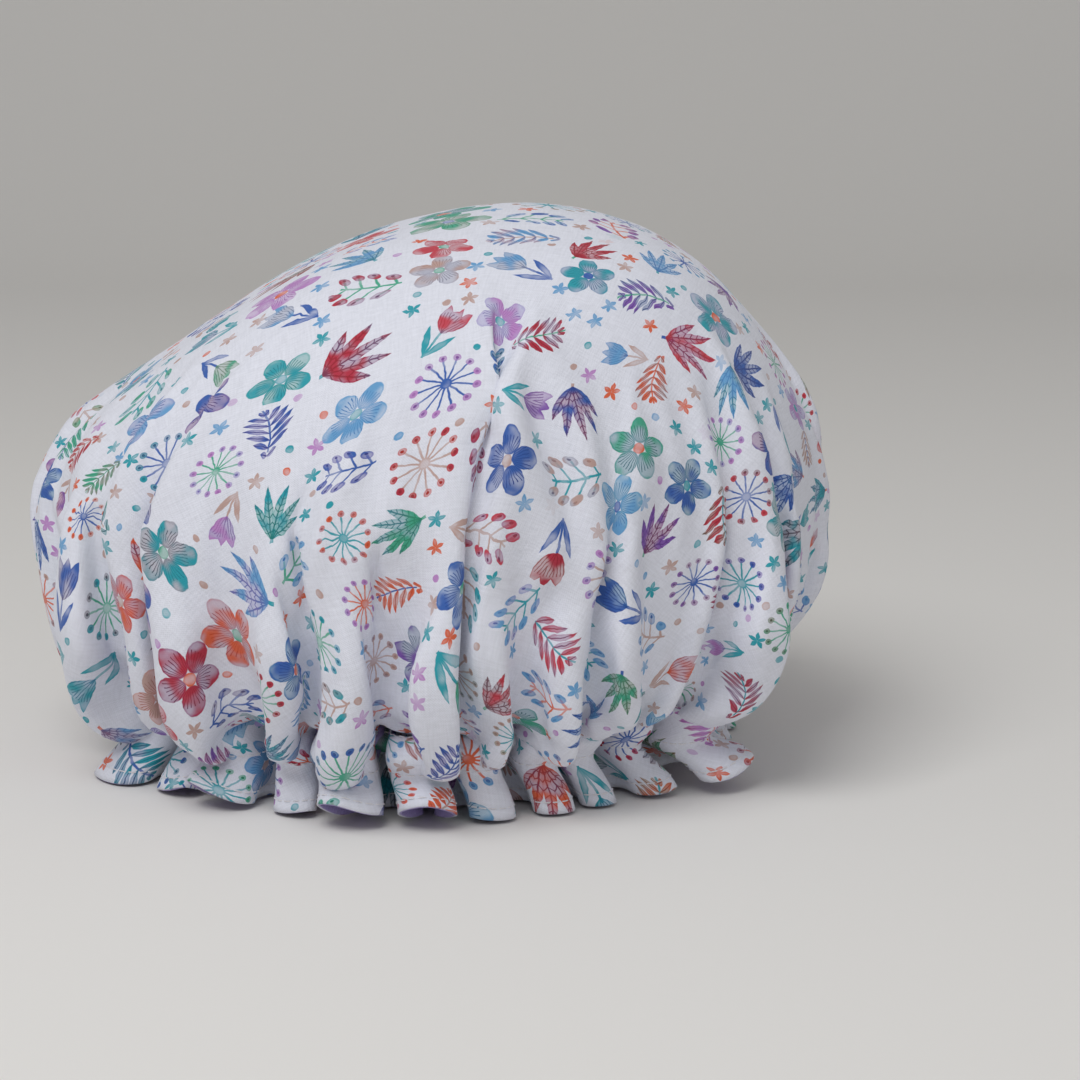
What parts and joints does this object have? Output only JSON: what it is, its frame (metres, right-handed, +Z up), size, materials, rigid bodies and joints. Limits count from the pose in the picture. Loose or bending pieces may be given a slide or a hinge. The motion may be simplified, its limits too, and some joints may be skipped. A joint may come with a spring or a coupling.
{
  "type": "shower cap",
  "caption": "Puffed bouffant shower cap of printed cloth with a waterproof lining, gathered on an elastic strip in a sewn casing above a fluted ruffle hem.",
  "frame": {"origin": "middle of the head opening, on the surface that the hem stands on", "axes": "+Z up through the crown, front of the cap towards -Y, +X along its width"},
  "size_m": [0.2669, 0.2391, 0.182],
  "materials": {
    "printed_cloth": "plain-weave cotton, printed",
    "lining_cloth": "knit cloth with a smooth waterproof film",
    "woven_elastic": "ribbed woven elastic",
    "white_thread": "spun polyester thread",
    "lilac_thread": "spun polyester thread"
  },
  "bodies": {
    "root": {"outer_shell": "printed_cloth", "lining_shell": "lining_cloth", "elastic_strip": "woven_elastic", "elastic_lap_zigzag": "white_thread", "casing_top_needle_thread": "white_thread", "casing_top_bobbin_thread": "lilac_thread", "casing_bottom_needle_thread": "white_thread", "casing_bottom_bobbin_thread": "lilac_thread", "hem_edge_needle_thread": "white_thread", "hem_edge_bobbin_thread": "lilac_thread"}
  },
  "joints": []
}
